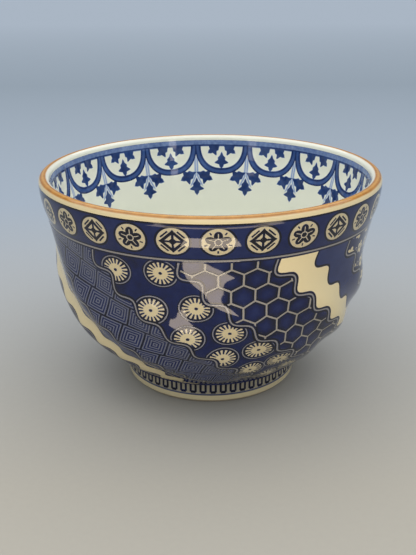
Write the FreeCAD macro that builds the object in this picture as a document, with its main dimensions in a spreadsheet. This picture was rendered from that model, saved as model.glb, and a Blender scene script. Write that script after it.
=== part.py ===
import FreeCAD, Part
import Sketcher
import math
import os

# A footed porcelain teacup with twelve spiral lobes moulded into its side.
# Millimetres, +Z up, origin at the centre of the foot's contact plane, -Y is the front.

DEGREES = 360.0
POINTS_PER_LOBE = 6
LOBES_PER_SPAN = 4
LOBE_FALL = 0.8  # under 1 keeps the lobes full nearer to the foot and the collar line

# where a turned outline is drawn, roughly, before its corners are held to the sheet
DRAWN_RADIUS, DRAWN_HEIGHT, DRAWN_SPREAD = 20.0, 5.0, 2.0

# word in the sheet, value, what it is
SIZES = [
    ("cup_height", 58.0, "foot contact plane to the crest of the lip"),
    ("lobe_count", 12.0, "spiral lobes round the side"),
    ("lobe_depth", 1.1, "ridge to valley, at mid height"),
    ("lobe_start", 20.8, "bearing of one ridge at the collar line, degrees from the front"),
    ("collar_line", 47.5, "height where the lobes die out and the plain collar begins"),
    ("twist_rate", 0.928, "degrees of turn per mm below the collar line"),
    ("twist_gain", 0.0212, "extra degrees of turn per mm squared"),
    ("glaze", 0.3, "thickness of a glaze coat"),
    ("lip_land", 57.6, "height of the clay's top edge, which carries the lip dressing"),
    ("lip_middle", 43.55, "radius of the middle of the wall at the lip"),
    ("dressing_width", 1.9, "width of the iron dressing across the lip"),
    ("foot_height", 6.8, "foot contact plane to the underside of the bowl"),
    ("foot_outer", 23.0, "outer radius of the foot at its contact face"),
    ("foot_top", 23.6, "outer radius of the foot under the bowl"),
    ("foot_inner", 19.9, "inner radius of the foot at its contact face"),
    ("foot_inner_top", 19.3, "inner radius of the foot under the bowl"),
    ("foot_chamfer", 0.6, "bevel round the contact face"),
    ("bare_edge", 1.0, "height of bare clay left round the foot"),
]

# height and finished radius of the outside, from the foot to the lip
OUTSIDE = [
    (6.8, 25.6), (9.0, 28.4), (13.2, 32.7), (18.4, 37.0), (24.7, 39.8), (31.9, 41.4),
    (39.1, 41.9), (47.5, 43.3), (51.3, 44.4), (55.3, 45.0), (56.6, 45.0), (57.6, 44.5),
]

# height and finished radius of the inside, from the middle of the floor to the lip
INSIDE = [
    (10.2, 0.0), (10.5, 10.0), (12.1, 20.0), (15.3, 27.2), (20.5, 33.3), (26.5, 36.7),
    (33.0, 38.2), (39.5, 38.9), (47.5, 40.3), (51.3, 41.3), (55.3, 41.95), (57.6, 42.6),
]


def make_sheet(doc):
    """The driving dimensions, one word to a row."""
    sheet = doc.addObject("Spreadsheet::Sheet", "Sizes")
    for row, (word, value, note) in enumerate(SIZES, start=1):
        sheet.set(f"A{row}", word)
        sheet.set(f"B{row}", str(value))
        sheet.set(f"C{row}", note)
        sheet.setAlias(f"B{row}", word)
    first = len(SIZES) + 1
    for side, levels in (("outside", OUTSIDE), ("inside", INSIDE)):
        for step, (height, radius) in enumerate(levels):
            sheet.set(f"A{first}", f"{side} level {step}")
            sheet.set(f"B{first}", str(height))
            sheet.set(f"C{first}", str(radius))
            sheet.setAlias(f"B{first}", f"{side}_height_{step}")
            sheet.setAlias(f"C{first}", f"{side}_radius_{step}")
            first += 1
    doc.recompute()
    return sheet


def levels_of(sheet, side, count):
    """The (height, radius) pairs of one side, read back from the sheet."""
    return [
        (sheet.get(f"{side}_height_{step}"), sheet.get(f"{side}_radius_{step}"))
        for step in range(count)
    ]


def twist_at(sheet, height):
    """Degrees that a ridge has turned by the time it is down at this height."""
    drop = max(0.0, sheet.get("collar_line") - height)
    return sheet.get("twist_rate") * drop + sheet.get("twist_gain") * drop * drop


def lobe_reach(sheet, height):
    """Half of ridge to valley at a height: nothing at the foot and at the collar line."""
    low = sheet.get("foot_height")
    high = sheet.get("collar_line")
    share = (height - low) / (high - low)
    if share <= 0.0 or share >= 1.0:
        return 0.0
    return sheet.get("lobe_depth") / 2.0 * math.sin(math.pi * share) ** LOBE_FALL


def lobed_ring(sheet, height, radius):
    """A closed curve at one height with a ridge for every lobe, in spans that meet on ridges."""
    lobes = int(sheet.get("lobe_count"))
    reach = lobe_reach(sheet, height)
    start = math.radians(sheet.get("lobe_start") + twist_at(sheet, height))
    count = lobes * POINTS_PER_LOBE
    points = []
    for step in range(count + 1):
        turn = math.radians(DEGREES * (step % count) / count)
        out = radius + reach * math.cos(lobes * turn)
        bearing = start + turn
        points.append(FreeCAD.Vector(out * math.sin(bearing), -out * math.cos(bearing), height))
    spans = []
    stride = LOBES_PER_SPAN * POINTS_PER_LOBE
    for first in range(0, count, stride):
        curve = Part.BSplineCurve()
        curve.interpolate(points[first:first + stride + 1])
        spans.append(curve.toShape())
    return Part.Wire(spans)


def lobed_form(doc, sheet, name, inset):
    """A solid of the cup's outside, drawn in by inset."""
    sections = []
    for step, (height, radius) in enumerate(levels_of(sheet, "outside", len(OUTSIDE))):
        ring = doc.addObject("Part::Feature", f"{name}_ring_{step}")
        ring.Shape = lobed_ring(sheet, height, radius - inset)
        sections.append(ring)
    loft = doc.addObject("Part::Loft", name)
    loft.Sections = sections
    loft.Solid = True
    loft.Ruled = False
    return loft


def cavity_form(doc, sheet, name, outset):
    """A solid of the cup's inside, grown by outset square to its surface."""
    levels = levels_of(sheet, "inside", len(INSIDE))
    points = [FreeCAD.Vector(0, 0, levels[0][0] - outset)]
    for below, here, above in zip(levels, levels[1:], levels[2:]):
        rise, run = above[0] - below[0], above[1] - below[1]
        slope = math.hypot(rise, run)
        radius = here[1] + outset * rise / slope
        height = here[0] - outset * run / slope
        points.append(FreeCAD.Vector(radius, 0, height))
    points.append(FreeCAD.Vector(levels[-1][1] + outset, 0, levels[-1][0]))
    wall = Part.BSplineCurve()
    wall.interpolate(Points=points)
    brim = FreeCAD.Vector(0, 0, points[-1].z)
    outline = doc.addObject("Part::Feature", f"{name}_outline")
    outline.Shape = Part.Wire([
        wall.toShape(),
        Part.makeLine(points[-1], brim),
        Part.makeLine(brim, points[0]),
    ])
    turned = doc.addObject("Part::Revolution", name)
    turned.Source = outline
    turned.Axis = (0, 0, 1)
    turned.Base = (0, 0, 0)
    turned.Angle = DEGREES
    turned.Solid = True
    return turned


def cut_piece(doc, label, base, tool):
    """One sub-part: base with tool taken out of it."""
    piece = doc.addObject("Part::Cut", label)
    piece.Base = base
    piece.Tool = tool
    piece.Label = label
    return piece


def origin_feature(body, role):
    for feature in body.Origin.OriginFeatures:
        if feature.Role == role:
            return feature
    raise RuntimeError(f"{body.Name} has no {role}")


def place(sketch, geometry, end, radius, height):
    """Hold one end of a line or arc at a radius and a height, each a formula on the sheet."""
    drawn = sketch.getPoint(geometry, end)
    holds = (("DistanceX", radius, -2, drawn.x), ("DistanceY", height, -1, drawn.y))
    for kind, formula, axis, now in holds:
        if formula == "0":
            sketch.addConstraint(Sketcher.Constraint("PointOnObject", geometry, end, axis))
            continue
        index = sketch.addConstraint(Sketcher.Constraint(kind, -1, 1, geometry, end, now))
        sketch.setExpression(f"Constraints[{index}]", formula)


def new_body(doc, label):
    """An empty body with a sketch on its upright plane."""
    body = doc.addObject("PartDesign::Body", label)
    body.Label = label
    sketch = body.newObject("Sketcher::SketchObject", f"{label}_outline")
    sketch.AttachmentSupport = [(origin_feature(body, "XZ_Plane"), "")]
    sketch.MapMode = "FlatFace"
    return body, sketch


def turn(body, sketch):
    turned = body.newObject("PartDesign::Revolution", f"{body.Name}_turned")
    turned.Profile = sketch
    turned.ReferenceAxis = (sketch, ["V_Axis"])
    turned.Angle = DEGREES
    return body


def turned_body(doc, label, corners):
    """A body revolved from a straight-sided outline; each corner is (radius, height)."""
    body, sketch = new_body(doc, label)
    count = len(corners)
    drawn = []
    for step in range(count + 1):
        across, along = DRAWN_SPREAD * math.cos(step), DRAWN_SPREAD * math.sin(step)
        drawn.append(FreeCAD.Vector(DRAWN_RADIUS + across, DRAWN_HEIGHT + along, 0))
    for start, end in zip(drawn, drawn[1:]):
        sketch.addGeometry(Part.LineSegment(start, end), False)
    for step in range(count):
        sketch.addConstraint(Sketcher.Constraint("Coincident", step, 2, (step + 1) % count, 1))
    for step, (radius, height) in enumerate(corners):
        place(sketch, step, 1, radius, height)
    return turn(body, sketch)


def make_bowl(doc, sheet):
    """The clay bowl: lobed outside, smooth inside, both drawn back by a glaze coat."""
    coat = sheet.get("glaze")
    outside = lobed_form(doc, sheet, "bowl_outside", coat)
    inside = cavity_form(doc, sheet, "bowl_inside", coat)
    return cut_piece(doc, "bowl", outside, inside)


def make_outer_glaze(doc, sheet):
    """The clear coat over the outside, from the foot to the lip."""
    finished = lobed_form(doc, sheet, "outside", 0.0)
    clay = lobed_form(doc, sheet, "outside_clay", sheet.get("glaze"))
    return cut_piece(doc, "outer_glaze", finished, clay)


def make_inner_glaze(doc, sheet):
    """The clear coat over the inside, from the floor to the lip."""
    clay = cavity_form(doc, sheet, "inside_clay", sheet.get("glaze"))
    finished = cavity_form(doc, sheet, "inside", 0.0)
    return cut_piece(doc, "inner_glaze", clay, finished)


def make_lip_dressing(doc, sheet):
    """The iron-brown dressing, a low arch over the top edge of the wall."""
    body, sketch = new_body(doc, "lip_dressing")
    middle, half = sheet.get("lip_middle"), sheet.get("dressing_width") / 2.0
    inner = FreeCAD.Vector(middle - half, sheet.get("lip_land"), 0)
    outer = FreeCAD.Vector(middle + half, sheet.get("lip_land"), 0)
    crest = FreeCAD.Vector(middle, sheet.get("cup_height"), 0)
    sketch.addGeometry(Part.LineSegment(inner, outer), False)
    arch = Part.Arc(outer, crest, inner)
    sketch.addGeometry(arch, False)
    sketch.addConstraint(Sketcher.Constraint("Coincident", 0, 2, 1, 1))
    sketch.addConstraint(Sketcher.Constraint("Coincident", 0, 1, 1, 2))
    place(sketch, 0, 1, "Sizes.lip_middle - Sizes.dressing_width / 2", "Sizes.lip_land")
    place(sketch, 0, 2, "Sizes.lip_middle + Sizes.dressing_width / 2", "Sizes.lip_land")
    round_off = sketch.addConstraint(Sketcher.Constraint("Radius", 1, arch.toShape().Curve.Radius))
    rise = "(Sizes.cup_height - Sizes.lip_land)"
    formula = f"(Sizes.dressing_width * Sizes.dressing_width / 4 + {rise} * {rise}) / (2 * {rise})"
    sketch.setExpression(f"Constraints[{round_off}]", formula)
    return turn(body, sketch)


def wall_radius(low, top, height):
    """Formula for a foot wall's radius at a height, on its straight slope above the bevel."""
    slope = f"(Sizes.{top} - Sizes.{low}) / (Sizes.foot_height - Sizes.foot_chamfer)"
    return f"Sizes.{low} + {slope} * ({height} - Sizes.foot_chamfer)"


def make_foot_ring(doc):
    """The clay foot, slightly flared, with its contact face bevelled on both sides."""
    return turned_body(doc, "foot_ring", [
        ("Sizes.foot_outer - Sizes.foot_chamfer", "0"),
        ("Sizes.foot_outer", "Sizes.foot_chamfer"),
        ("Sizes.foot_top", "Sizes.foot_height"),
        ("Sizes.foot_inner_top", "Sizes.foot_height"),
        ("Sizes.foot_inner", "Sizes.foot_chamfer"),
        ("Sizes.foot_inner + Sizes.foot_chamfer", "0"),
    ])


def make_foot_glaze(doc):
    """The coat outside the foot and under the bowl's turned-in edge."""
    wall = wall_radius("foot_outer", "foot_top", "Sizes.bare_edge")
    return turned_body(doc, "foot_glaze", [
        (wall, "Sizes.bare_edge"),
        (f"{wall} + Sizes.glaze", "Sizes.bare_edge"),
        ("Sizes.foot_top + Sizes.glaze", "Sizes.foot_height - Sizes.glaze"),
        ("Sizes.outside_radius_0", "Sizes.foot_height - Sizes.glaze"),
        ("Sizes.outside_radius_0", "Sizes.foot_height"),
        ("Sizes.foot_top", "Sizes.foot_height"),
    ])


def make_well_glaze(doc):
    """The coat inside the foot: its wall and the underside of the bowl."""
    wall = wall_radius("foot_inner", "foot_inner_top", "Sizes.bare_edge")
    return turned_body(doc, "well_glaze", [
        ("0", "Sizes.foot_height"),
        ("Sizes.foot_inner_top", "Sizes.foot_height"),
        (wall, "Sizes.bare_edge"),
        (f"{wall} - Sizes.glaze", "Sizes.bare_edge"),
        ("Sizes.foot_inner_top - Sizes.glaze", "Sizes.foot_height - Sizes.glaze"),
        ("0", "Sizes.foot_height - Sizes.glaze"),
    ])


def check(doc, pieces):
    """Stop if any feature failed or any sub-part isn't one sound solid."""
    for item in doc.Objects:
        if "Invalid" in item.State or "Error" in item.State:
            raise RuntimeError(f"{item.Name} failed: {item.State}")
    for piece in pieces:
        shape = piece.Shape
        if shape.isNull() or not shape.isValid() or len(shape.Solids) != 1:
            raise RuntimeError(f"{piece.Label} is not one sound solid")
        low, high = shape.BoundBox.ZMin, shape.BoundBox.ZMax
        print(f"{piece.Label}: {shape.Volume:.1f} mm3, {low:.2f} to {high:.2f} mm high")


def main():
    doc = FreeCAD.newDocument("teacup")
    sheet = make_sheet(doc)
    pieces = [
        make_bowl(doc, sheet),
        make_foot_ring(doc),
        make_outer_glaze(doc, sheet),
        make_inner_glaze(doc, sheet),
        make_foot_glaze(doc),
        make_well_glaze(doc),
        make_lip_dressing(doc, sheet),
    ]
    doc.recompute()
    check(doc, pieces)
    os.makedirs("parts", exist_ok=True)
    for piece in pieces:
        piece.Shape.exportStep(f"parts/{piece.Label}.step")


main()
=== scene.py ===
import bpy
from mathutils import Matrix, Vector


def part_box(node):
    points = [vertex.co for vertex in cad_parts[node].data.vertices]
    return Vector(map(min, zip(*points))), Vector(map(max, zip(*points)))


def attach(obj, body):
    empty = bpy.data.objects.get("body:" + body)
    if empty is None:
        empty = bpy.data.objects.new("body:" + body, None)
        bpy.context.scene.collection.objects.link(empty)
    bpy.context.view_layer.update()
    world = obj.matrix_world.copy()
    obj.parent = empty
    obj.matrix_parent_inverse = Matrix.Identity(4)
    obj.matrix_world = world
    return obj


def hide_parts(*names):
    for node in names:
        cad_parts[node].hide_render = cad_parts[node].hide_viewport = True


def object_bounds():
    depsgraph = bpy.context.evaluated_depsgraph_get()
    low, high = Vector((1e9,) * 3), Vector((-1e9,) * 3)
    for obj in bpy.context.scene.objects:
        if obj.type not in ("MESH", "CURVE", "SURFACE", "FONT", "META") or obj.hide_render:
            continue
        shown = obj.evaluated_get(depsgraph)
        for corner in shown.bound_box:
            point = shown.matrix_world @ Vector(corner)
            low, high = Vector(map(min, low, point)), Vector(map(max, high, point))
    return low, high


bl_info = {
    "name": "Spiral Teacup",
    "version": (1, 0, 0),
    "blender": (4, 5, 0),
    "location": "View3D > Sidebar > Teacup",
    "description": "Glaze coats, painting and stage of a teacup with spiral lobes",
    "category": "Object",
}

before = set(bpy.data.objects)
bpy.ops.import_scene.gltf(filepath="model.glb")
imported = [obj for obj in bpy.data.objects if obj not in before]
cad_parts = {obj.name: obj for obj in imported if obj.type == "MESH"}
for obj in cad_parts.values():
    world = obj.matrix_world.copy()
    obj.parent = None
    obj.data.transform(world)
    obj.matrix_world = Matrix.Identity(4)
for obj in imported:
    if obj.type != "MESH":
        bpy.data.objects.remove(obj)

import math

import bpy
from bpy.props import FloatProperty, FloatVectorProperty, IntProperty, PointerProperty
from mathutils import Matrix, Vector

CAD_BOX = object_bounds()
MM = 0.001
DEGREE = math.pi / 180.0
CUP_RADIUS = CAD_BOX[1][0]
CUP_HEIGHT = CAD_BOX[1][2]
FOOT_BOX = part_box("foot_ring")
FOOT_TOP = FOOT_BOX[1][2]
FOOT_RADIUS = FOOT_BOX[1][0]
LIP_ROUND = 1.45 * MM
LIP_JOIN = CUP_HEIGHT - LIP_ROUND
TURNS = 288

# Shares of the cup's height and radius along the outside, from the foot to the lip.
OUTSIDE = (
    (0.117, 0.569), (0.155, 0.631), (0.228, 0.727), (0.317, 0.822), (0.426, 0.884), (0.550, 0.920),
    (0.674, 0.931), (0.819, 0.962), (0.884, 0.987), (0.953, 1.0), (0.976, 1.0),
)

# Shares of the cup's height and radius along the inside, from the middle of the floor to the lip.
INSIDE = (
    (0.176, 0.0), (0.181, 0.222), (0.209, 0.444), (0.264, 0.604), (0.353, 0.740), (0.457, 0.816),
    (0.569, 0.849), (0.681, 0.864), (0.819, 0.896), (0.884, 0.918), (0.953, 0.932), (0.976, 0.936),
)


def srgb(red, green, blue):
    """A colour given as eye-level 0 to 255 steps, in the linear light that nodes use."""
    light = []
    for step in (red, green, blue):
        level = step / 255.0
        light.append(level / 12.92 if level <= 0.04045 else ((level + 0.055) / 1.055) ** 2.4)
    return (*light, 1.0)


def length(name, description, default):
    return FloatProperty(name=name, description=description, default=default, unit="LENGTH", precision=5)


def amount(name, description, default):
    return FloatProperty(name=name, description=description, default=default)


def colour(name, description, *steps):
    return FloatVectorProperty(
        name=name, description=description, default=srgb(*steps), subtype="COLOR", size=4, min=0.0, max=1.0
    )


class TeacupShape(bpy.types.PropertyGroup):
    """Sizes of the cup's visible surfaces"""

    coat: length("Coat", "Thickness of each glaze coat", 0.28 * MM)
    lobe_depth: length("Lobe depth", "Ridge to valley of the spiral lobes at mid height", 1.1 * MM)
    lobe_count: IntProperty(name="Lobes", description="Spiral lobes round the side", default=12)
    lobe_start: amount("Lobe start", "Bearing of one ridge at the collar, degrees", 20.8)
    twist_rate: amount("Twist", "Degrees of turn per mm below the collar", 0.928)
    twist_gain: amount("Twist gain", "More degrees of turn per mm squared", 0.0212)
    collar_line: length("Collar line", "Height where the lobes end and the plain collar begins", 47.5 * MM)
    collar_seam: length("Collar seam", "Height where the side's coat meets the collar's", 47.15 * MM)
    border_seam: length("Border seam", "Height where the inner border's coat meets the floor's", 38.5 * MM)
    bare_edge: length("Bare edge", "Height of bare clay round the foot", 0.95 * MM)


class TeacupColours(bpy.types.PropertyGroup):
    """Glaze and pigment colours"""

    cream: colour("Cream", "Bare body seen through the outer glaze", 226, 211, 168)
    line: colour("Line", "Fine reserved lines between washes", 176, 167, 140)
    haze: colour("Haze", "Thin cobalt wash", 104, 108, 124)
    wash: colour("Wash", "Middle cobalt wash", 36, 50, 98)
    cobalt: colour("Cobalt", "Full cobalt wash", 5, 22, 72)
    night: colour("Night", "Outlines, where cobalt pools", 3, 5, 22)
    white: colour("White", "Body seen through the inner glaze", 230, 231, 217)
    sky: colour("Sky", "Pale wash on the inner border", 140, 162, 204)
    blue: colour("Blue", "Middle wash on the inner border", 56, 84, 140)
    deep: colour("Deep", "Full wash on the inner border", 20, 40, 88)
    iron: colour("Iron", "Dressing on the lip", 190, 130, 48)
    clay: colour("Clay", "Bare fired clay", 214, 198, 168)
    # Floor, distance and shade are painted light and shade on the stage: lighter and warmer near the cup,
    # cooler and darker further back, lighter again far off.
    floor: colour("Floor", "Stage near the cup", 168, 164, 154)
    distance: colour("Distance", "Stage behind the cup", 146, 157, 170)
    shade: colour("Shade", "Stage far behind the cup", 126, 138, 150)


class TeacupStage(bpy.types.PropertyGroup):
    """Place and lens of the camera"""

    camera_distance: length("Camera distance", "Camera in front of the cup's axis", 208.7 * MM)
    camera_height: length("Camera height", "Camera above the stage", 109.1 * MM)
    camera_side: length("Camera side", "Camera to the right of the axis", -0.73 * MM)
    camera_tilt: amount("Camera tilt", "Degrees below level", 21.59)
    camera_roll: amount("Camera roll", "Degrees about the view", -0.26)
    camera_lens: amount("Lens", "Focal length in mm on a 36 mm side", 51.9)


# Shader maths ---------------------------------------------------------------------------------


class Tone:
    """A number that varies over a surface: arithmetic on it adds Math nodes to its finish."""

    def __init__(self, finish, socket):
        self.finish = finish
        self.socket = socket

    def maths(self, operation, *others):
        return self.finish.maths(operation, self, *others)

    def __add__(self, other):
        return self.maths("ADD", other)

    __radd__ = __add__

    def __sub__(self, other):
        return self.maths("SUBTRACT", other)

    def __rsub__(self, other):
        return self.finish.maths("SUBTRACT", other, self)

    def __mul__(self, other):
        return self.maths("MULTIPLY", other)

    __rmul__ = __mul__

    def __truediv__(self, other):
        return self.maths("DIVIDE", other)

    def __rtruediv__(self, other):
        return self.finish.maths("DIVIDE", other, self)

    def __pow__(self, other):
        return self.maths("POWER", other)

    def __mod__(self, other):
        return self.maths("FLOORED_MODULO", other)

    def __abs__(self):
        return self.maths("ABSOLUTE")

    def __gt__(self, other):
        return self.maths("GREATER_THAN", other)

    def __lt__(self, other):
        return self.maths("LESS_THAN", other)

    def floor(self):
        return self.maths("FLOOR")

    def near(self):
        return self.maths("ROUND")

    def sin(self):
        return self.maths("SINE")

    def cos(self):
        return self.maths("COSINE")

    def root(self):
        return self.maths("SQRT")

    def least(self, other):
        return self.maths("MINIMUM", other)

    def most(self, other):
        return self.maths("MAXIMUM", other)

    def equals(self, other):
        return self.maths("COMPARE", other, 0.4)

    def limit(self):
        clamp = self.finish.node("ShaderNodeClamp", {}, {0: self})
        return Tone(self.finish, clamp.outputs[0])


class Finish:
    """A material being made. Its node method adds any node."""

    def __init__(self, name):
        self.material = bpy.data.materials.new(name)
        self.material.use_nodes = True
        self.tree = self.material.node_tree
        self.tree.nodes.clear()

    def node(self, kind, settings, inputs):
        made = self.tree.nodes.new(kind)
        for word, value in settings.items():
            if word == "stops":
                self.set_stops(made.color_ramp, value)
            else:
                setattr(made, word, value)
        for place, value in inputs.items():
            value = getattr(value, "socket", value)
            if isinstance(value, bpy.types.NodeSocket):
                self.tree.links.new(value, made.inputs[place])
            else:
                made.inputs[place].default_value = value
        return made

    def set_stops(self, ramp, stops):
        while len(ramp.elements) < len(stops):
            ramp.elements.new(1.0)
        for element, (position, tint) in zip(ramp.elements, stops):
            element.position = position
            element.color = tint

    def maths(self, operation, *values):
        made = self.node("ShaderNodeMath", {"operation": operation}, dict(enumerate(values)))
        return Tone(self, made.outputs[0])

    def smooth(self, value, start, stop):
        """0 before start, 1 after stop and an S-curve between."""
        settings = {"interpolation_type": "SMOOTHSTEP"}
        made = self.node("ShaderNodeMapRange", settings, {0: value, 1: start, 2: stop, 3: 0.0, 4: 1.0})
        return Tone(self, made.outputs[0])

    def noise(self, place, scale, detail=2.0):
        """Cloudy values about 0, within roughly half a unit either way."""
        made = self.node("ShaderNodeTexNoise", {}, {
            "Vector": place.vector, "Scale": scale, "Detail": detail, "Roughness": 0.55,
        })
        return Tone(self, made.outputs[0]) - 0.5

    def mix(self, share, first, second):
        made = self.node("ShaderNodeMix", {"data_type": "RGBA"}, {0: share, 6: first, 7: second})
        return made.outputs[2]

    def shine(self, base, roughness, relief, depth, **fixed):
        """Close the material with a Principled surface; relief is a height, depth its scale in metres."""
        bump = self.node("ShaderNodeBump", {}, {"Height": relief, "Strength": 1.0, "Distance": depth})
        surface = self.node("ShaderNodeBsdfPrincipled", {}, {
            "Base Color": base, "Roughness": roughness, "Normal": bump.outputs[0], **fixed,
        })
        self.node("ShaderNodeOutputMaterial", {}, {0: surface.outputs[0]})
        return self.material


class Place:
    """Where a point lies: x, y, z and radius in mm, and its bearing in degrees from the front."""

    def __init__(self, finish):
        self.finish = finish
        source = finish.node("ShaderNodeTexCoord", {}, {})
        self.vector = source.outputs["Object"]
        split = finish.node("ShaderNodeSeparateXYZ", {}, {0: self.vector})
        self.x, self.y, self.z = (Tone(finish, split.outputs[axis]) / MM for axis in range(3))
        self.radius = (self.x * self.x + self.y * self.y).root()
        self.bearing = finish.maths("ARCTAN2", self.x, 0.0 - self.y) / DEGREE


SOFT = 0.13


def inside(distance, half, soft=SOFT):
    """1 where distance is under half, 0 past it, with a soft edge, in mm."""
    return ((half - distance) / soft + 0.5).limit()


def lay(under, ink, mask):
    """Put ink over what is under it, where the mask is 1."""
    return under + (ink - under) * mask


def from_nearest(value, pitch):
    """How far value is from the nearest whole number of pitches."""
    return value - (value / pitch).near() * pitch


def hypot(across, along):
    return (across * across + along * along).root()


# Painting -------------------------------------------------------------------------------------

CELL = 30.0
HALF_CELL = CELL / 2.0
FIRST_BORDER = -71.7
STEP_LENGTH = 8.4
STEP_PHASE = 6.4
STEP_REACH = 1.22
UNIT_DEGREE = 0.733
PANELS = 12.0
BORDER_HALF = 0.72
BORDER_LINE = 0.21


class Spiral:
    """Where a point lies among the spiral panels of the side, and how far from their stepped borders."""

    def __init__(self, place, shape):
        self.place = place
        self.rate = shape.twist_rate
        self.gain = shape.twist_gain
        self.drop = shape.collar_line / MM - place.z
        self.turn = self.drop * self.rate + self.drop * self.drop * self.gain
        low = (self.drop - 20.0).most(0.0)
        self.along = self.drop + low * low * 0.011
        self.stretch = low * 0.022 + 1.0
        self.loose = place.bearing - self.turn - FIRST_BORDER
        drawn = self.loose - self.widening()
        line = (drawn / HALF_CELL).near()
        wide = place.radius * DEGREE
        lean = wide * self.pace() / self.stretch
        square = 1.0 / (lean * lean + 1.0).root()
        aside = (drawn - line * HALF_CELL) * wide
        course = self.along * (self.along * 0.0102 + 1.21) + aside * lean * square
        wave = (course - STEP_PHASE) * (2.0 * math.pi / STEP_LENGTH)
        reach = STEP_REACH / lean
        off = aside * square - wave.sin() * reach
        slope = wave.cos() * reach * (2.0 * math.pi / STEP_LENGTH)
        self.clear = abs(off) / (slope * slope + 1.0).root()
        cell = line - (off < 0.0)
        self.whole = (cell / 2.0).floor()
        self.second = cell - self.whole * 2.0
        self.on_middle = line % 2.0
        self.panel = self.whole % PANELS

    def pace(self):
        """Degrees of turn per mm of drop."""
        return self.drop * (2.0 * self.gain) + self.rate

    def widening(self):
        """Degrees that the plain pair at the start is drawn wider than the other panels."""
        ahead = 0.0 - self.loose
        finish = self.place.finish
        rise = finish.smooth(ahead, 0.0, 9.5)
        fall = finish.smooth(ahead, 25.0, 60.0)
        return (rise - fall) * 5.5

    def in_panels(self, *numbers):
        mask = self.panel.equals(numbers[0])
        for number in numbers[1:]:
            mask = mask + self.panel.equals(number)
        return mask

    def across(self, start):
        """Distance in mm round the cup from a bearing that is given for the first panel."""
        return (self.place.bearing - self.whole * CELL - start) * UNIT_DEGREE


KEY_ROW = 6.1
KEY_WIDTH = 6.45
KEY_RING = 0.24


def key_squares(spiral):
    """Nested squares in leaning rows."""
    across = spiral.across(0.0)
    lean_x = across * 0.9415 + spiral.along * 0.3868 + 16.45
    lean_y = spiral.along * 0.9975 - across * 0.2036 - 20.85
    row = (lean_y / KEY_ROW).near()
    up = abs(lean_y - row * KEY_ROW) / 3.05
    out = abs(from_nearest(lean_x + row * 1.15, KEY_WIDTH)) / 3.22
    size = up.most(out)
    ring = abs(from_nearest(size - 0.14, KEY_RING)) * 3.1
    ink = lay(0.90, 0.42, inside(ring, 0.17) * (size < 0.96))
    return lay(ink, 0.99, inside((1.0 - size) * 3.1, 0.22))


DAISY_RIM = 3.85
DAISY_DISC = 2.85
DAISY_SPOKES = 17.0


def daisy_column(spiral, offset, first, pitch):
    """Steps in mm from the nearest daisy of one column."""
    radius = spiral.place.radius
    aside = spiral.loose - spiral.whole * CELL - offset
    slant = radius * spiral.pace() * DEGREE
    pull = slant * slant / (slant * slant + 1.0)
    centre = ((spiral.turn + pull * aside - first) / pitch).near() * pitch + first
    under_root = (centre * (4.0 * spiral.gain) + spiral.rate ** 2).most(0.0)
    height = (under_root.root() - spiral.rate) / (2.0 * spiral.gain)
    across = (aside + spiral.turn - centre) * radius * DEGREE
    return across, (spiral.drop - height) * spiral.stretch


def daisies(finish, spiral):
    """Notched roundels in two columns on a dark wash."""
    left, left_down = daisy_column(spiral, 5.9, 4.6, 11.7)
    right, right_down = daisy_column(spiral, 22.2, 3.8, 10.9)
    nearer = hypot(left, left_down) > hypot(right, right_down)
    across = lay(left, right, nearer) * 0.87
    down = lay(left_down, right_down, nearer)
    reach = hypot(across, down)
    spoke = finish.maths("ARCTAN2", down, across) * (DAISY_SPOKES / (2.0 * math.pi))
    notch = abs(from_nearest(spoke, 1.0)) * reach * (2.0 * math.pi / DAISY_SPOKES)
    ink = lay(0.90, 1.0, inside(reach, DAISY_RIM))
    ink = lay(ink, 0.30, inside(abs(reach - 3.45), 0.13))
    ink = lay(ink, 0.07, inside(reach, DAISY_DISC))
    cut = inside(notch, reach * 0.085) * (1.0 - inside(reach, 1.65, 0.3)) * inside(reach, 3.0)
    ink = lay(ink, 0.98, cut)
    return lay(ink, 0.97, inside(reach, 0.36))


def hexagons(spiral):
    """Upright honeycomb with a dark edge and a watery middle to each cell."""
    half = 2.91
    rise = half * math.sqrt(3.0)
    across = spiral.across(-53.9)
    along = (spiral.along - 5.25) * 1.2
    first = (from_nearest(across, 2.0 * half), from_nearest(along, 2.0 * rise))
    second = (from_nearest(across - half, 2.0 * half), from_nearest(along - rise, 2.0 * rise))
    nearer = hypot(*first) > hypot(*second)
    out = abs(lay(first[0], second[0], nearer))
    up = abs(lay(first[1], second[1], nearer))
    edge = half - out.most(out * 0.5 + up * 0.866)
    ink = lay(0.94, 0.86, ((edge - 0.8) / 1.6).limit())
    ink = lay(ink, 1.0, inside(edge, 0.6))
    return lay(ink, 0.24, inside(edge, 0.25))


BLOSSOM_ROW = 4.6
BLOSSOM_PITCH = 5.8


def blossoms(finish, spiral):
    """Small five-petalled flowers and dots on a dark wash."""
    across = spiral.across(0.0)
    row = (spiral.along / BLOSSOM_ROW).near()
    down = spiral.along - row * BLOSSOM_ROW
    shifted = across - row * (BLOSSOM_PITCH / 2.0)
    out = from_nearest(shifted, BLOSSOM_PITCH)
    reach = hypot(out, down)
    petal = abs((finish.maths("ARCTAN2", down, out) * 2.5).cos())
    ink = lay(0.90, 0.05, inside(reach, petal * 0.75 + 1.0))
    ink = lay(ink, 0.95, inside(reach, 0.36))
    between = hypot(from_nearest(shifted - BLOSSOM_PITCH / 2.0, BLOSSOM_PITCH), down)
    return lay(ink, 0.15, inside(abs(between - 0.62), 0.13))


GLAZE_RELIEF = 0.03 * MM


def outer_ramp(finish, ink, colours):
    """Colour of the outside for an amount of cobalt from 0 to 1."""
    ramp = finish.node("ShaderNodeValToRGB", {"stops": (
        (0.0, colours.cream), (0.13, colours.line), (0.40, colours.haze),
        (0.74, colours.wash), (0.90, colours.cobalt), (1.0, colours.night),
    )}, {0: ink})
    return ramp.outputs[0]


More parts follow.
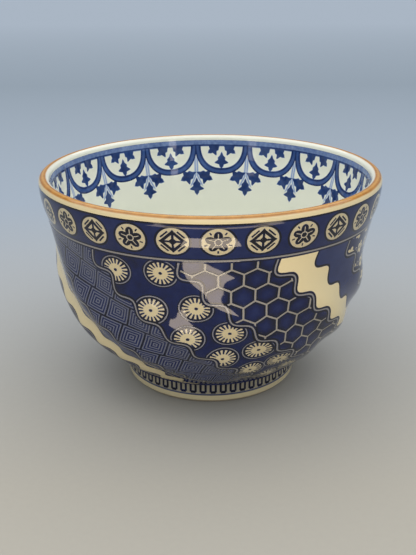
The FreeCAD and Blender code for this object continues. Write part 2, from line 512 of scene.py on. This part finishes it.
def watery(finish, place, ink, share):
    """Let the wash pool and thin, as brushed cobalt does."""
    cloud = finish.noise(place, 170.0, 3.0) + finish.noise(place, 620.0, 2.0) * 0.5
    return (ink + cloud * ink * share).limit()


def glaze(finish, place, base, ink, lines=0.35):
    """Close a painted finish with clear gloss: slow ripples, and pigment that stands a little proud."""
    ripple = finish.noise(place, 45.0, 1.0) * 2.0 + finish.noise(place, 420.0, 1.0) * 0.12
    roughness = finish.noise(place, 260.0, 2.0) * 0.03 + 0.045
    relief = ripple + ink * lines
    return finish.shine(base, roughness, relief, GLAZE_RELIEF, **{"IOR": 1.5, "Specular IOR Level": 0.45})


def paint_side(shape, colours):
    """The spiral panels: squares, daisies, honeycomb, plain pair and blossoms."""
    finish = Finish("painted_side")
    place = Place(finish)
    spiral = Spiral(place, shape)
    plain = spiral.second * 0.78
    ink = lay(plain, 1.0, inside(spiral.clear, 0.27) * spiral.on_middle)
    ink = lay(ink, key_squares(spiral), spiral.in_panels(0, 8))
    ink = lay(ink, daisies(finish, spiral), spiral.in_panels(1, 6, 10))
    ink = lay(ink, hexagons(spiral), spiral.in_panels(2, 5))
    ink = lay(ink, blossoms(finish, spiral), spiral.in_panels(4, 9))
    border = spiral.clear + spiral.on_middle * 9.0
    ink = lay(ink, 1.0, inside(border, BORDER_HALF))
    ink = lay(ink, 0.30, inside(border, BORDER_LINE))
    ink = lay(ink, 0.97, inside(spiral.drop, 0.62))
    ink = watery(finish, place, ink, 0.20)
    return glaze(finish, place, outer_ramp(finish, ink, colours), ink)


MEDALLION_PITCH = 360.0 / 28.0
MEDALLION_START = 2.0
MEDALLION_HEIGHT = 52.3
MEDALLION_RIM = 3.82
MEDALLION_DISC = 3.36
COLLAR_TOP = 56.55


def blossom_mark(finish, across, up):
    """A broad five-petalled flower with fine veins."""
    reach = hypot(across, up)
    turn = finish.maths("ARCTAN2", across, up)
    petal = abs((turn * 2.5).cos())
    ink = inside(reach, petal * 1.2 + 1.45)
    vein = abs((turn * 2.5).sin()) * reach
    ink = ink * (1.0 - inside(vein, 0.28, 0.25) * inside(abs(reach - 1.45), 0.62))
    ink = ink * (1.0 - inside(abs(reach - 0.72), 0.13))
    between = abs((turn * 2.5).cos()) * reach
    return ink.most(inside(between, 0.42) * inside(abs(reach - 2.55), 0.34))


def lattice_mark(across, up):
    """A bold nest of lozenges crossed by two bars, with a bar outside each corner."""
    out = abs(across)
    rise = abs(up)
    lozenge = out + rise
    ink = inside(abs(lozenge - 2.35), 0.46)
    ink = ink.most(inside(lozenge, 0.95))
    ink = ink.most(inside(out.least(rise), 0.24) * inside(lozenge, 2.9))
    corner = inside(abs(lozenge - 3.45), 0.26) * inside(abs(out - rise), 1.5)
    return ink.most(corner)


def paint_collar(shape, colours):
    """A dark band of round medallions, closed below by a reserved line."""
    finish = Finish("painted_collar")
    place = Place(finish)
    steps = (place.bearing - MEDALLION_START) / MEDALLION_PITCH
    number = steps.near()
    across = (steps - number) * MEDALLION_PITCH * place.radius * DEGREE * 0.9
    up = (place.z - MEDALLION_HEIGHT) * 1.03
    reach = hypot(across, up)
    ink = lay(0.86, 1.0, inside(reach, MEDALLION_RIM))
    mark = lay(blossom_mark(finish, across, up), lattice_mark(across, up), number % 2.0)
    ink = lay(ink, mark * 0.91 + 0.09, inside(reach, MEDALLION_DISC))
    line = abs(place.z - shape.collar_line / MM)
    ink = lay(ink, 0.99, inside(line, 0.58))
    ink = lay(ink, 0.28, inside(line, 0.24))
    ink = lay(ink, 1.0, inside(COLLAR_TOP - place.z, 0.45, 0.2))
    ink = watery(finish, place, ink, 0.18)
    return glaze(finish, place, outer_ramp(finish, ink, colours), ink)


def inner_ramp(finish, ink, colours):
    """Colour of the inside for an amount of cobalt from 0 to 1."""
    ramp = finish.node("ShaderNodeValToRGB", {"stops": (
        (0.0, colours.white), (0.30, colours.sky), (0.68, colours.blue), (1.0, colours.deep),
    )}, {0: ink})
    return ramp.outputs[0]


BORDER_PITCH = 22.5
BORDER_START = 17.3
BORDER_TOP = 54.95
BORDER_UNIT = 0.71
LAPPET_DROP = 8.9
LAPPET_HALF = 11.6
LAPPET_ROUND = 2.3


def leaf(across, up, size):
    """A barbed leaf with wavy sides that hangs from the origin and widens downwards, size mm long."""
    down = 0.0 - up
    above = inside(down, 0.70 * size, 0.35)
    lobes = (down * (2.0 * math.pi / (0.3 * size))).cos() * 0.14 + 0.86
    half_width = lay((size - down) * 0.85, down * 0.66 + 0.1, above) * lobes
    return inside(abs(across), half_width, 0.3)


def turned(across, up, out, rise, angle):
    """The same point seen from a leaf hung at (out, rise) and swung by angle."""
    cosine = math.cos(angle * DEGREE)
    sine = math.sin(angle * DEGREE)
    across = across - out
    up = up - rise
    return across * cosine + up * sine, up * cosine - across * sine


def paint_inner_border(colours):
    """A line band, U-shaped lappets that hold a floret, and a pendant floret between each pair."""
    finish = Finish("painted_inner_border")
    place = Place(finish)
    across = from_nearest(place.bearing - BORDER_START, BORDER_PITCH)
    between = BORDER_PITCH / 2.0 - abs(across)
    depth = BORDER_TOP - place.z
    low = (depth.most(0.0) / LAPPET_DROP) ** LAPPET_ROUND
    lappet = ((abs(across) / LAPPET_HALF) ** LAPPET_ROUND + low) ** (1.0 / LAPPET_ROUND)
    out = abs(across) * BORDER_UNIT
    up = 0.0 - depth
    ink = leaf(out, up + 2.3, 4.9)
    ink = ink.most(leaf(*turned(out, up, 0.45, 0.25, 54.0), 4.7))
    ink = ink.most(inside(depth, 0.3, 0.3)) * (lappet < 0.82)
    rail = abs(lappet - 0.9) * 9.5
    ink = lay(ink * 0.88, 0.70, inside(rail, 1.05, 0.25))
    ink = lay(ink, 0.98, inside(abs(rail - 0.74), 0.27, 0.3))
    gap = between * BORDER_UNIT
    hang = up + 7.2
    pendant = leaf(gap, hang + 2.9, 5.3).most(leaf(*turned(gap, hang, 0.15, -1.0, 64.0), 5.6))
    fall = 0.0 - hang
    vein = inside(abs(gap - 0.35 - (fall - 2.2).most(0.0) * 0.5), 0.25, 0.4) * inside(fall, 5.2, 0.8)
    outer = (pendant * 0.9).most(vein * 0.34)
    ink = lay(ink, outer, (lappet > 1.0))
    band = lay(0.50, 0.93, inside(abs(place.z - BORDER_TOP), 0.2, 0.2))
    band = band + finish.noise(place, 900.0, 1.0) * 0.3
    ink = lay(ink, band, inside(abs(place.z - 55.68), 0.85, 0.25) * (place.z > BORDER_TOP - 0.2))
    ink = watery(finish, place, ink, 0.5)
    return glaze(finish, place, inner_ramp(finish, ink, colours), ink, 0.2)


def paint_inner_floor(colours):
    """Plain white under clear glaze, which pools a little greener on the floor."""
    finish = Finish("plain_inside")
    place = Place(finish)
    pool = ((26.0 - place.z) / 18.0).limit() * 0.35 + finish.noise(place, 60.0, 2.0) * 0.12
    base = finish.mix(pool.limit(), colours.white, srgb(204, 216, 208))
    specks = inside(finish.noise(place, 1500.0, 1.0) + 0.83, 0.5, 0.02)
    base = finish.mix(specks * 0.3, base, colours.haze)
    return glaze(finish, place, base, pool, 0.1)


def paint_lip(colours):
    """Cream outside, white inside and a thin iron-brown dressing just outside the crest, with a painted
    highlight along the middle of the dressing.
    """
    finish = Finish("dressed_lip")
    place = Place(finish)
    middle = (CUP_RADIUS - LIP_ROUND) / MM
    wander = finish.noise(place, 130.0, 2.0) * 0.5
    off = abs(place.radius - middle - 0.3 + wander * 0.35)
    high = place.z > (CUP_HEIGHT - 1.3 * LIP_ROUND) / MM
    brown = inside(off, 0.8, 0.3) * high
    halo = inside(off, 0.95, 0.5) * high * 0.3
    ground = finish.mix(place.radius > middle, colours.white, colours.cream)
    worn = (finish.noise(place, 700.0, 3.0) * 1.4 + 0.45).limit()
    iron = finish.mix(worn, colours.iron, srgb(138, 88, 30))
    # Painted highlight: the middle of the iron band is mixed towards a light gold, like light catching the
    # crest of the lip.
    iron = finish.mix(inside(off, 0.25, 0.4) * 0.35, iron, srgb(232, 184, 104))
    base = finish.mix(brown.most(halo), ground, iron)
    return glaze(finish, place, base, brown, 0.5)


FRET_PITCH = 360.0 / 56.0
FRET_LOW = 3.3
FRET_HIGH = 5.75
FRET_RADIUS = 23.6
FOOT_LINE = 2.55
FOOT_PLAIN = 2.3


def paint_foot(colours):
    """A square meander on a pale ground, closed below by a grey-blue line, then plain cream."""
    finish = Finish("painted_foot")
    place = Place(finish)
    step = place.bearing / FRET_PITCH + 0.31
    share = step - step.floor()
    wide = FRET_PITCH * FRET_RADIUS * DEGREE
    wall = abs(abs(share - 0.5) - 0.25) * wide
    rise = place.z
    middle = (FRET_LOW + FRET_HIGH) / 2.0
    bars = inside(wall, 0.28) * inside(abs(rise - middle), (FRET_HIGH - FRET_LOW) / 2.0)
    inner = abs(share - 0.5) < 0.25
    foot = inside(abs(rise - FRET_LOW), 0.36) * inner
    head = inside(abs(rise - FRET_HIGH), 0.24) * (1.0 - inner)
    fret = bars.most(foot).most(head)
    ink = lay(0.16, 0.98, fret)
    ink = lay(ink, 0.62, inside(abs(rise - FOOT_LINE), 0.2, 0.25))
    ink = lay(ink, 0.02, inside(rise, FOOT_PLAIN))
    past = ((place.radius - 24.1) / 0.5).limit()
    ink = lay(ink, 0.9, past)
    ink = watery(finish, place, ink, 0.3)
    return glaze(finish, place, outer_ramp(finish, ink, colours), ink)


def paint_well(colours):
    """Cream glaze inside the foot, with faint turning rings and a few specks."""
    finish = Finish("glazed_well")
    place = Place(finish)
    rings = (place.radius * 2.6 + finish.noise(place, 40.0, 1.0) * 2.0).sin() * 0.5
    cloud = (finish.noise(place, 90.0, 3.0) + rings * 0.1 + 0.35).limit()
    base = finish.mix(cloud, colours.cream, srgb(222, 216, 196))
    specks = inside(finish.noise(place, 1300.0, 1.0) + 0.82, 0.5, 0.02)
    base = finish.mix(specks * 0.4, base, colours.line)
    return glaze(finish, place, base, rings, 0.2)


def paint_clay(colours, name="bare_clay"):
    """Unglazed fired clay: matt, finely grained, with turning rings and small pits."""
    finish = Finish(name)
    place = Place(finish)
    grain = finish.noise(place, 2600.0, 3.0)
    cloud = (finish.noise(place, 140.0, 3.0) + 0.5).limit()
    rings = (place.radius * 9.0 + place.z * 9.0).sin() * 0.25
    base = finish.mix(cloud, colours.clay, srgb(196, 176, 142))
    base = finish.mix((grain * 1.2 + 0.2).limit(), base, srgb(170, 148, 116))
    return finish.shine(base, grain * 0.2 + 0.72, grain + rings, 0.05 * MM, **{"IOR": 1.45})


# Modelling ------------------------------------------------------------------------------------


def only(piece):
    """Select one piece alone, out of edit mode."""
    if bpy.context.object and bpy.context.object.mode != "OBJECT":
        bpy.ops.object.mode_set(mode="OBJECT")
    bpy.ops.object.select_all(action="DESELECT")
    piece.select_set(True)
    bpy.context.view_layer.objects.active = piece


def apply_modifier(piece, kind, **settings):
    only(piece)
    modifier = piece.modifiers.new(kind.title(), kind)
    for word, value in settings.items():
        setattr(modifier, word, value)
    bpy.ops.object.modifier_apply(modifier=modifier.name)


def trim(height, keep_above):
    """In edit mode, cut the whole mesh at a height and drop what is on the far side."""
    bpy.ops.mesh.select_all(action="SELECT")
    bpy.ops.mesh.bisect(
        plane_co=(0.0, 0.0, height), plane_no=(0.0, 0.0, 1.0),
        clear_inner=keep_above, clear_outer=not keep_above, threshold=1e-7,
    )


def outline(name, points, smoothness=14, low=None, high=None):
    """A mesh line through (height, radius) points on the cup's front half-plane, trimmed to a zone."""
    bpy.ops.object.select_all(action="DESELECT")
    bpy.ops.curve.primitive_bezier_curve_add(location=(0.0, 0.0, 0.0))
    piece = bpy.context.object
    piece.name = piece.data.name = name
    spline = piece.data.splines[0]
    spline.bezier_points.add(len(points) - len(spline.bezier_points))
    for knot, (height, radius) in zip(spline.bezier_points, points):
        knot.co = (radius, 0.0, height)
        knot.handle_left_type = knot.handle_right_type = "AUTO"
    spline.resolution_u = smoothness
    piece.data.resolution_u = smoothness
    only(piece)
    bpy.ops.object.convert(target="MESH")
    piece = bpy.context.object
    bpy.ops.object.mode_set(mode="EDIT")
    if low is not None:
        trim(low, True)
    if high is not None:
        trim(high, False)
    bpy.ops.object.mode_set(mode="OBJECT")
    return piece


def turn(piece, facing_in=False):
    """Sweep an outline right round the axis, close its seam and face it one way."""
    apply_modifier(
        piece, "SCREW", angle=2.0 * math.pi, steps=TURNS, render_steps=TURNS, axis="Z",
        use_merge_vertices=True, merge_threshold=1e-6,
    )
    bpy.ops.object.mode_set(mode="EDIT")
    bpy.ops.mesh.select_all(action="SELECT")
    bpy.ops.mesh.remove_doubles(threshold=1e-6)
    bpy.ops.mesh.normals_make_consistent(inside=facing_in)
    bpy.ops.object.mode_set(mode="OBJECT")


def thicken(piece, coat):
    """Give a surface the thickness of a coat, laid on its far side, and smooth it."""
    apply_modifier(piece, "SOLIDIFY", thickness=coat, offset=-1.0, use_rim=True, use_even_offset=True)
    only(piece)
    bpy.ops.object.shade_smooth_by_angle(angle=40.0 * DEGREE)


def finish_piece(piece, material, slot, *nodes):
    """Dress a piece, ride it on the cup and hide the CAD nodes it stands for."""
    piece.data.materials.clear()
    piece.data.materials.append(material)
    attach(piece, "root")
    if nodes:
        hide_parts(*nodes)


def scaled(shares):
    return [(height * CUP_HEIGHT, radius * CUP_RADIUS) for height, radius in shares]


def raise_lobes(piece, shape):
    """Push the spiral ridges out and the valleys in, by painted weights and two Displace modifiers."""
    ridges = piece.vertex_groups.new(name="ridges")
    valleys = piece.vertex_groups.new(name="valleys")
    span = shape.collar_line - FOOT_TOP
    for vertex in piece.data.vertices:
        x, y, z = vertex.co
        share = min(max((shape.collar_line - z) / span, 0.0), 1.0)
        drop = (shape.collar_line - z) / MM
        spiral = shape.lobe_start + shape.twist_rate * drop + shape.twist_gain * drop * drop
        bearing = math.degrees(math.atan2(x, -y))
        reach = math.sin(math.pi * share) ** 0.8 * math.cos((bearing - spiral) * shape.lobe_count * DEGREE)
        group = ridges if reach > 0.0 else valleys
        group.add([vertex.index], abs(reach), "REPLACE")
    for name, strength in (("ridges", shape.lobe_depth), ("valleys", -shape.lobe_depth)):
        apply_modifier(
            piece, "DISPLACE", vertex_group=name, direction="NORMAL", mid_level=0.5, strength=strength
        )
    piece.vertex_groups.clear()


class BuildSideCoat(bpy.types.Operator):
    """Make the painted coat over the spiral lobes"""

    bl_idname = "teacup.side_coat"
    bl_label = "Side coat"

    def execute(self, context):
        shape, colours = context.scene.teacup_shape, context.scene.teacup_colours
        piece = outline("side_coat", scaled(OUTSIDE), 14, high=shape.collar_seam)
        turn(piece)
        raise_lobes(piece, shape)
        thicken(piece, shape.coat)
        finish_piece(piece, paint_side(shape, colours), "cobalt_under_glaze", "outer_glaze")
        return {"FINISHED"}


class BuildCollarCoat(bpy.types.Operator):
    """Make the painted coat over the plain collar"""

    bl_idname = "teacup.collar_coat"
    bl_label = "Collar coat"

    def execute(self, context):
        shape, colours = context.scene.teacup_shape, context.scene.teacup_colours
        piece = outline("collar_coat", scaled(OUTSIDE), 14, low=shape.collar_seam, high=LIP_JOIN)
        turn(piece)
        thicken(piece, shape.coat)
        finish_piece(piece, paint_collar(shape, colours), "cobalt_under_glaze", "outer_glaze")
        return {"FINISHED"}


class BuildLip(bpy.types.Operator):
    """Make the rounded lip with its iron dressing"""

    bl_idname = "teacup.lip"
    bl_label = "Dressed lip"

    def execute(self, context):
        shape, colours = context.scene.teacup_shape, context.scene.teacup_colours
        middle = CUP_RADIUS - LIP_ROUND
        angles = [step * math.pi / 8.0 for step in range(9)]
        points = [(LIP_JOIN + LIP_ROUND * math.sin(a), middle + LIP_ROUND * math.cos(a)) for a in angles]
        piece = outline("dressed_lip", points, 5)
        turn(piece)
        thicken(piece, shape.coat)
        finish_piece(piece, paint_lip(colours), "iron_brown", "lip_dressing")
        return {"FINISHED"}


class BuildInnerBorder(bpy.types.Operator):
    """Make the painted coat round the top of the inside"""

    bl_idname = "teacup.inner_border"
    bl_label = "Inner border coat"

    def execute(self, context):
        shape, colours = context.scene.teacup_shape, context.scene.teacup_colours
        piece = outline("inner_border_coat", scaled(INSIDE), 12, low=shape.border_seam, high=LIP_JOIN)
        turn(piece, facing_in=True)
        thicken(piece, shape.coat)
        finish_piece(piece, paint_inner_border(colours), "white_glaze", "inner_glaze")
        return {"FINISHED"}


class BuildInnerFloor(bpy.types.Operator):
    """Make the plain coat over the floor of the inside"""

    bl_idname = "teacup.inner_floor"
    bl_label = "Inner floor coat"

    def execute(self, context):
        shape, colours = context.scene.teacup_shape, context.scene.teacup_colours
        piece = outline("inner_floor_coat", scaled(INSIDE), 8, high=shape.border_seam)
        turn(piece, facing_in=True)
        thicken(piece, shape.coat)
        finish_piece(piece, paint_inner_floor(colours), "white_glaze", "inner_glaze")
        return {"FINISHED"}


class BuildFootCoat(bpy.types.Operator):
    """Make the painted coat outside the foot"""

    bl_idname = "teacup.foot_coat"
    bl_label = "Foot coat"

    def execute(self, context):
        shape, colours = context.scene.teacup_shape, context.scene.teacup_colours
        join = OUTSIDE[0][1] * CUP_RADIUS
        wall = FOOT_RADIUS - 0.25 * MM
        points = [
            (shape.bare_edge, wall), (FOOT_TOP * 0.45, wall + 0.1 * MM),
            (FOOT_TOP - 1.1 * MM, wall + 0.25 * MM), (FOOT_TOP - 0.45 * MM, wall + 0.6 * MM),
            (FOOT_TOP - 0.12 * MM, wall + 1.3 * MM), (FOOT_TOP, join),
        ]
        piece = outline("foot_coat", points, 8)
        turn(piece)
        thicken(piece, shape.coat)
        finish_piece(piece, paint_foot(colours), "cream_glaze", "foot_glaze")
        return {"FINISHED"}


class BuildFootEdge(bpy.types.Operator):
    """Make the bare clay foot ring with its rounded contact edge"""

    bl_idname = "teacup.foot_edge"
    bl_label = "Foot ring"

    def execute(self, context):
        colours = context.scene.teacup_colours
        bpy.ops.object.select_all(action="DESELECT")
        outer = FOOT_RADIUS - 0.6 * MM
        inner = 19.75 * MM
        bpy.ops.mesh.primitive_circle_add(vertices=TURNS, radius=outer - 0.3 * MM, location=(0.0, 0.0, 0.0))
        piece = bpy.context.object
        piece.name = piece.data.name = "foot_ring_edge"
        bpy.ops.object.mode_set(mode="EDIT")
        bpy.ops.mesh.select_all(action="SELECT")
        rings = (
            (outer, 0.5 * MM), (FOOT_RADIUS - 0.45 * MM, FOOT_TOP), (19.5 * MM, FOOT_TOP),
            (inner, 0.5 * MM), (inner + 0.55 * MM, 0.0),
        )
        here_radius, here_height = outer - 0.3 * MM, 0.0
        for radius, height in rings:
            share = radius / here_radius
            bpy.ops.mesh.extrude_edges_move()
            bpy.ops.transform.resize(value=(share, share, 1.0), center_override=(0.0, 0.0, 0.0))
            bpy.ops.transform.translate(value=(0.0, 0.0, height - here_height))
            here_radius, here_height = radius, height
        bpy.ops.object.mode_set(mode="OBJECT")
        self.close_ring(piece)
        apply_modifier(
            piece, "BEVEL", width=0.16 * MM, segments=4, limit_method="ANGLE", angle_limit=25.0 * DEGREE
        )
        only(piece)
        bpy.ops.object.shade_smooth_by_angle(angle=35.0 * DEGREE)
        finish_piece(piece, paint_clay(colours), "bare_foot", "foot_ring")
        return {"FINISHED"}

    def close_ring(self, piece):
        """Bridge the first and last rings into the flat contact face."""
        only(piece)
        bpy.ops.object.mode_set(mode="EDIT")
        bpy.ops.mesh.select_all(action="DESELECT")
        bpy.ops.mesh.select_mode(type="EDGE")
        bpy.ops.mesh.select_non_manifold()
        bpy.ops.mesh.bridge_edge_loops()
        bpy.ops.mesh.select_all(action="SELECT")
        bpy.ops.mesh.normals_make_consistent(inside=False)
        bpy.ops.object.mode_set(mode="OBJECT")


class BuildWellCoat(bpy.types.Operator):
    """Make the plain coat inside the foot"""

    bl_idname = "teacup.well_coat"
    bl_label = "Well coat"

    def execute(self, context):
        shape, colours = context.scene.teacup_shape, context.scene.teacup_colours
        roof = FOOT_TOP - shape.coat
        wall = 19.1 * MM
        points = [
            (roof - 0.25 * MM, 0.0), (roof - 0.2 * MM, wall * 0.3), (roof - 0.05 * MM, wall * 0.7),
            (roof - 0.15 * MM, wall - 1.4 * MM), (roof - 0.6 * MM, wall - 0.4 * MM),
            (roof - 1.6 * MM, wall - 0.02 * MM), (shape.bare_edge, wall + 0.4 * MM),
        ]
        piece = outline("well_coat", points, 8)
        turn(piece, facing_in=True)
        thicken(piece, shape.coat)
        finish_piece(piece, paint_well(colours), "cream_glaze", "well_glaze")
        return {"FINISHED"}


class DressClay(bpy.types.Operator):
    """Give the clay bowl under the coats its own finish"""

    bl_idname = "teacup.clay"
    bl_label = "Clay bowl"

    def execute(self, context):
        colours = context.scene.teacup_colours
        material = paint_clay(colours, "porcelain_body")
        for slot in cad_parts["bowl"].material_slots:
            slot.material = material
        return {"FINISHED"}


# Stage ----------------------------------------------------------------------------------------


def stage_finish(colours):
    """Matt paper with painted light and shade: lighter and warmer near the cup, cooler and darker further
    off.
    """
    finish = Finish("stage_paper")
    place = Place(finish)
    # Painted light and shade: the colour ramps with distance behind the cup, standing in for the lamps'
    # light falling off.
    painted_falloff = ((place.y + 60.0) / 1400.0).limit()
    ramp = finish.node("ShaderNodeValToRGB", {"stops": (
        (0.0, colours.floor), (0.16, colours.distance), (0.44, colours.shade), (1.0, colours.distance),
    )}, {0: painted_falloff})
    base = ramp.outputs[0]
    grain = finish.noise(place, 700.0, 3.0)
    base = finish.mix((grain * 0.5 + 0.1).limit() * 0.15, base, srgb(120, 120, 118))
    return finish.shine(base, grain * 0.1 + 0.75, grain, 0.02 * MM, **{"IOR": 1.3})


def area_light(name, location, target, width, depth, power, tint):
    bpy.ops.object.light_add(type="AREA", location=location)
    lamp = bpy.context.object
    lamp.name = lamp.data.name = name
    lamp.data.shape = "RECTANGLE"
    lamp.data.size = width
    lamp.data.size_y = depth
    lamp.data.energy = power
    lamp.data.color = tint
    lamp.visible_camera = False
    aim = Vector(target) - Vector(location)
    lamp.rotation_euler = aim.to_track_quat("-Z", "Y").to_euler()
    return lamp


class BuildStage(bpy.types.Operator):
    """Make the floor, the lights and the camera"""

    bl_idname = "teacup.stage"
    bl_label = "Stage"

    def execute(self, context):
        self.add_floor(context.scene.teacup_colours)
        self.add_lights()
        self.add_camera(context.scene, context.scene.teacup_stage)
        context.scene.view_settings.view_transform = "Standard"
        return {"FINISHED"}

    def add_floor(self, colours):
        bpy.ops.object.select_all(action="DESELECT")
        bpy.ops.mesh.primitive_plane_add(size=6.0, location=(0.0, 0.0, 0.0))
        floor = bpy.context.object
        floor.name = "stage_floor"
        floor.data.materials.append(stage_finish(colours))

    def add_lights(self):
        warm = (1.0, 0.83, 0.64)
        bpy.ops.object.light_add(type="SUN", location=(0.0, 0.0, 1.0))
        sky = bpy.context.object
        sky.name = sky.data.name = "overhead_soft"
        sky.data.energy = 3.25
        sky.data.angle = 110.0 * DEGREE
        sky.data.color = (1.0, 0.985, 0.96)
        pearl = (1.0, 0.92, 0.89)
        area_light("strip_left", (-0.56, -0.83, 0.19), (0.0, 0.0, 0.05), 0.12, 0.22, 0.17, pearl)
        area_light("strip_right", (0.50, -0.86, 0.19), (0.0, 0.0, 0.05), 0.10, 0.22, 0.26, pearl)
        area_light("near_card", (0.0, -0.102, 0.003), (0.0, -0.102, 1.0), 0.052, 0.026, 0.030, warm)
        area_light("far_card", (0.015, -0.189, 0.003), (0.015, -0.189, 1.0), 0.28, 0.046, 0.15, warm)
        world = bpy.context.scene.world or bpy.data.worlds.new("studio")
        bpy.context.scene.world = world
        world.use_nodes = True
        world.node_tree.nodes["Background"].inputs[0].default_value = (0.62, 0.68, 0.76, 1.0)
        world.node_tree.nodes["Background"].inputs[1].default_value = 0.46

    def add_camera(self, scene, stage):
        bpy.ops.object.camera_add()
        camera = bpy.context.object
        camera.data.lens = stage.camera_lens
        camera.data.sensor_width = 36.0
        camera.data.clip_start = 0.01
        spot = Matrix.Translation((stage.camera_side, -stage.camera_distance, stage.camera_height))
        tilt = Matrix.Rotation((90.0 - stage.camera_tilt) * DEGREE, 4, "X")
        camera.matrix_world = spot @ tilt @ Matrix.Rotation(stage.camera_roll * DEGREE, 4, "Z")
        scene.camera = camera


class TeacupPanel(bpy.types.Panel):
    """Buttons and values for the teacup"""

    bl_idname = "VIEW3D_PT_teacup"
    bl_label = "Teacup"
    bl_space_type = "VIEW_3D"
    bl_region_type = "UI"
    bl_category = "Teacup"

    def draw(self, context):
        for build in PIECES:
            self.layout.operator(build.bl_idname)
        for group in (context.scene.teacup_shape, context.scene.teacup_colours, context.scene.teacup_stage):
            box = self.layout.box()
            for word in group.bl_rna.properties.keys():
                if word not in ("rna_type", "name"):
                    box.prop(group, word)


PIECES = (
    BuildSideCoat, BuildCollarCoat, BuildLip, BuildInnerBorder, BuildInnerFloor,
    BuildFootCoat, BuildFootEdge, BuildWellCoat, DressClay, BuildStage,
)
GROUPS = (("teacup_shape", TeacupShape), ("teacup_colours", TeacupColours), ("teacup_stage", TeacupStage))


def register():
    for word, group in GROUPS:
        bpy.utils.register_class(group)
        setattr(bpy.types.Scene, word, PointerProperty(type=group))
    for item in PIECES + (TeacupPanel,):
        bpy.utils.register_class(item)


def unregister():
    for item in reversed(PIECES + (TeacupPanel,)):
        bpy.utils.unregister_class(item)
    for word, group in reversed(GROUPS):
        delattr(bpy.types.Scene, word)
        bpy.utils.unregister_class(group)


def main():
    register()
    for build in PIECES:
        group, call = build.bl_idname.split(".")
        getattr(getattr(bpy.ops, group), call)()


if __name__ == "__main__":
    main()
